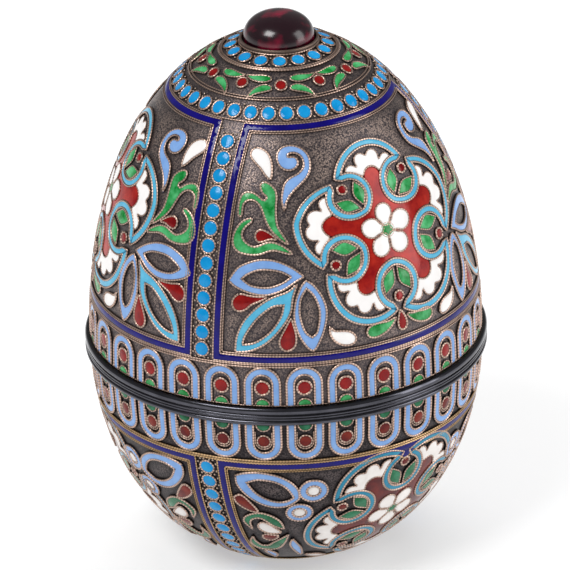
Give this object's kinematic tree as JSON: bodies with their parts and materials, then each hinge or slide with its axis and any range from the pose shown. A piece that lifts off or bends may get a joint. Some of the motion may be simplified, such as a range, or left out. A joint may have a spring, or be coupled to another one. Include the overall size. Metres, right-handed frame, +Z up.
{
  "type": "jewelled egg",
  "caption": "Two-part silver egg on a flat foot, covered in raised filigree and enamel, with a red cabochon in a collet on its lift-off lid.",
  "frame": {"origin": "centre of the flat foot, on the surface that the egg stands on", "axes": "+Z up along the egg's axis; one of the three panels of each half faces -Y"},
  "size_m": [0.0736, 0.0736, 0.1026],
  "materials": {
    "enamelled_silver": "oxidised silver ground, stippled",
    "rim_silver": "oxidised silver, polished",
    "wire_silver": "twisted silver wire, worn bright",
    "gilt_inside": "gilded silver, satin",
    "enamel": "glossy enamel in cells",
    "garnet": "polished cabochon"
  },
  "bodies": {
    "root": {"base_shell": "enamelled_silver", "base_rim": "rim_silver", "lid_shell": "enamelled_silver", "lid_rim": "rim_silver", "stone_collet": "wire_silver", "garnet_cabochon": "garnet"}
  },
  "joints": []
}
